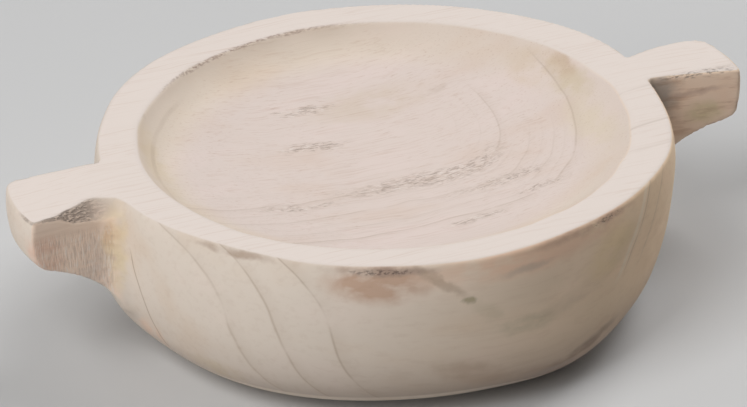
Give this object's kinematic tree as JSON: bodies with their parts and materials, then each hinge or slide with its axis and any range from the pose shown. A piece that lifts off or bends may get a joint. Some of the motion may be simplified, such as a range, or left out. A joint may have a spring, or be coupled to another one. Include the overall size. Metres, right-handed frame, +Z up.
{
  "type": "dough bowl",
  "caption": "Shallow oval dough bowl with two opposite lug handles, carved from one block of pale bleached wood.",
  "frame": {"origin": "on the surface that the bowl stands on, under the middle of the whole piece from lug tip to lug tip", "axes": "+X along the lugs towards the narrower-rooted far lug, +Y across the bowl away from the viewer, +Z up out of the bowl"},
  "size_m": [0.4226, 0.2962, 0.102],
  "materials": {
    "wood": "bleached, hand-cut and sanded, without varnish"
  },
  "bodies": {
    "root": {"bowl": "wood"}
  },
  "joints": []
}
